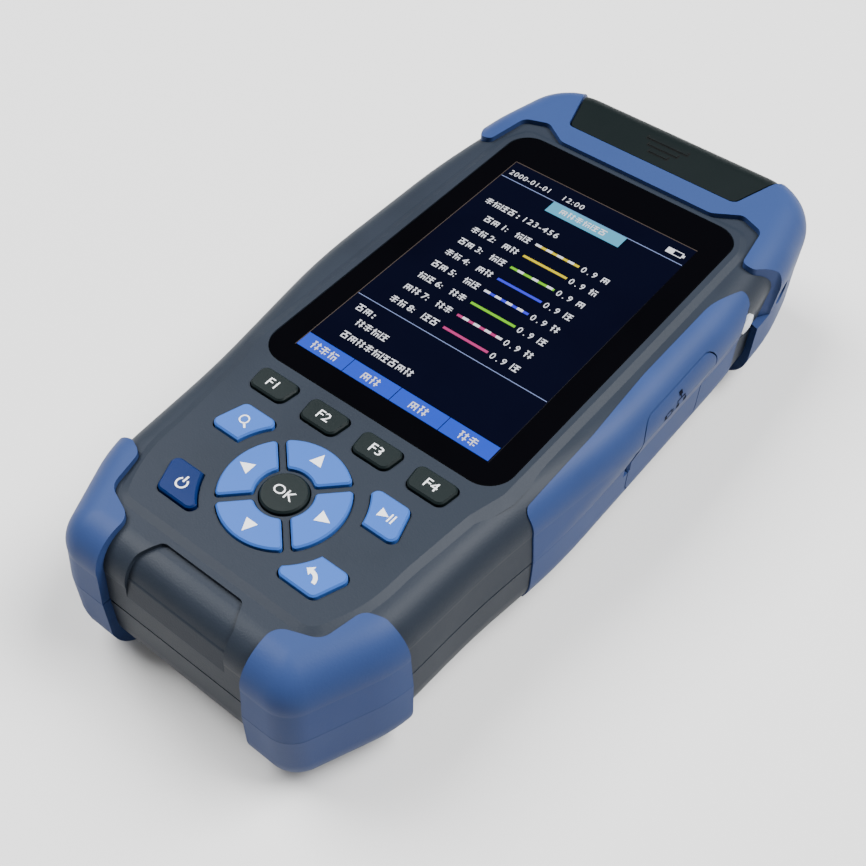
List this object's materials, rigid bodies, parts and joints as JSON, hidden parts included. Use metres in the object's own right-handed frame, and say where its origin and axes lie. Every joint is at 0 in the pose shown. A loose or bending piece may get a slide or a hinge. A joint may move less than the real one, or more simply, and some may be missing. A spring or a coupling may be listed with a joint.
{
  "type": "optical time domain reflectometer",
  "caption": "Handheld optical fibre tester with a colour display, key pad, corner bumpers, side socket flap, hinged port cover and folding stand.",
  "frame": {"origin": "under the middle of the instrument, on the surface that its bumpers lie on, with the display facing up", "axes": "+Z out of the display, +Y towards the port cover, +X towards the side flap"},
  "size_m": [0.0847, 0.1771, 0.0373],
  "materials": {
    "case": "fine texture",
    "overmould": "soft matt",
    "cover_rubber": "soft matt",
    "key_blue": "satin",
    "key_dark": "satin",
    "key_power": "satin",
    "window": "polished",
    "seal": "matt",
    "board": "solder mask",
    "inner_plastic": "fine texture",
    "steel": "brushed",
    "plated": "plated",
    "lens": "polished",
    "battery": "wrapped"
  },
  "bodies": {
    "main": {"front_case": "case", "rear_case": "case", "case_seal": "seal", "bumper_right_front": "overmould", "bumper_left_front": "overmould", "bumper_right_rear": "overmould", "bumper_left_rear": "overmould", "bumper_top_front": "overmould", "bumper_top_rear": "overmould", "grip_front": "overmould", "grip_rear": "overmould", "display_window": "window", "window_gasket": "seal", "lcd_module": "inner_plastic", "keypad_mat": "seal", "keypad_board": "board", "main_board": "board", "optical_module": "steel", "processor_shield": "plated", "battery_pack": "battery", "rj45_jack": "plated", "usb_port": "plated", "port_bulkhead": "inner_plastic", "port_floor": "inner_plastic", "port_wall_right": "inner_plastic", "port_wall_left": "inner_plastic", "cover_pin": "steel", "lamp_lens": "lens", "strap_anchor": "steel", "stand_pin": "steel", "battery_door": "case", "case_screws": "steel", "door_screws": "steel", "board_screws": "steel", "otdr_port": "plated", "vfl_port": "plated", "power_meter_port": "plated"},
    "key_f1": {"key_f1": "key_dark"},
    "key_f2": {"key_f2": "key_dark"},
    "key_f3": {"key_f3": "key_dark"},
    "key_f4": {"key_f4": "key_dark"},
    "key_ok": {"key_ok": "key_dark"},
    "key_up": {"key_up": "key_blue"},
    "key_down": {"key_down": "key_blue"},
    "key_left": {"key_left": "key_blue"},
    "key_right": {"key_right": "key_blue"},
    "key_search": {"key_search": "key_blue"},
    "key_play": {"key_play": "key_blue"},
    "key_back": {"key_back": "key_blue"},
    "key_power": {"key_power": "key_power"},
    "cover": {"port_cover": "cover_rubber"},
    "flap": {"side_flap": "overmould"},
    "stand": {"stand": "case"}
  },
  "joints": [
    {"name": "key_f1_press", "type": "slide", "parent": "main", "child": "key_f1", "axis": [0, 0, -1], "range_m": [0, 0.0006], "stiffness_N_per_m": 1500, "springref_m": -0.0002},
    {"name": "key_f2_press", "type": "slide", "parent": "main", "child": "key_f2", "axis": [0, 0, -1], "range_m": [0, 0.0006], "stiffness_N_per_m": 1500, "springref_m": -0.0002},
    {"name": "key_f3_press", "type": "slide", "parent": "main", "child": "key_f3", "axis": [0, 0, -1], "range_m": [0, 0.0006], "stiffness_N_per_m": 1500, "springref_m": -0.0002},
    {"name": "key_f4_press", "type": "slide", "parent": "main", "child": "key_f4", "axis": [0, 0, -1], "range_m": [0, 0.0006], "stiffness_N_per_m": 1500, "springref_m": -0.0002},
    {"name": "key_ok_press", "type": "slide", "parent": "main", "child": "key_ok", "axis": [0, 0, -1], "range_m": [0, 0.0006], "stiffness_N_per_m": 1500, "springref_m": -0.0002},
    {"name": "key_up_press", "type": "slide", "parent": "main", "child": "key_up", "axis": [0, 0, -1], "range_m": [0, 0.0006], "stiffness_N_per_m": 1500, "springref_m": -0.0002},
    {"name": "key_down_press", "type": "slide", "parent": "main", "child": "key_down", "axis": [0, 0, -1], "range_m": [0, 0.0006], "stiffness_N_per_m": 1500, "springref_m": -0.0002},
    {"name": "key_left_press", "type": "slide", "parent": "main", "child": "key_left", "axis": [0, 0, -1], "range_m": [0, 0.0006], "stiffness_N_per_m": 1500, "springref_m": -0.0002},
    {"name": "key_right_press", "type": "slide", "parent": "main", "child": "key_right", "axis": [0, 0, -1], "range_m": [0, 0.0006], "stiffness_N_per_m": 1500, "springref_m": -0.0002},
    {"name": "key_search_press", "type": "slide", "parent": "main", "child": "key_search", "axis": [0, 0, -1], "range_m": [0, 0.0006], "stiffness_N_per_m": 1500, "springref_m": -0.0002},
    {"name": "key_play_press", "type": "slide", "parent": "main", "child": "key_play", "axis": [0, 0, -1], "range_m": [0, 0.0006], "stiffness_N_per_m": 1500, "springref_m": -0.0002},
    {"name": "key_back_press", "type": "slide", "parent": "main", "child": "key_back", "axis": [0, 0, -1], "range_m": [0, 0.0006], "stiffness_N_per_m": 1500, "springref_m": -0.0002},
    {"name": "key_power_press", "type": "slide", "parent": "main", "child": "key_power", "axis": [0, 0, -1], "range_m": [0, 0.0006], "stiffness_N_per_m": 1500, "springref_m": -0.0002},
    {"name": "cover_hinge", "type": "hinge", "parent": "main", "child": "cover", "pos_m": [0, 0.0861, 0.0128], "axis": [-1, 0, 0], "range_deg": [0, 120]},
    {"name": "flap_hinge", "type": "hinge", "parent": "main", "child": "flap", "pos_m": [0.04245, 0.0308, 0.0202], "axis": [0, 0, 1], "range_deg": [0, 110]},
    {"name": "stand_hinge", "type": "hinge", "parent": "main", "child": "stand", "pos_m": [0, 0.058, 0.00235], "axis": [1, 0, 0], "range_deg": [0, 60]}
  ]
}
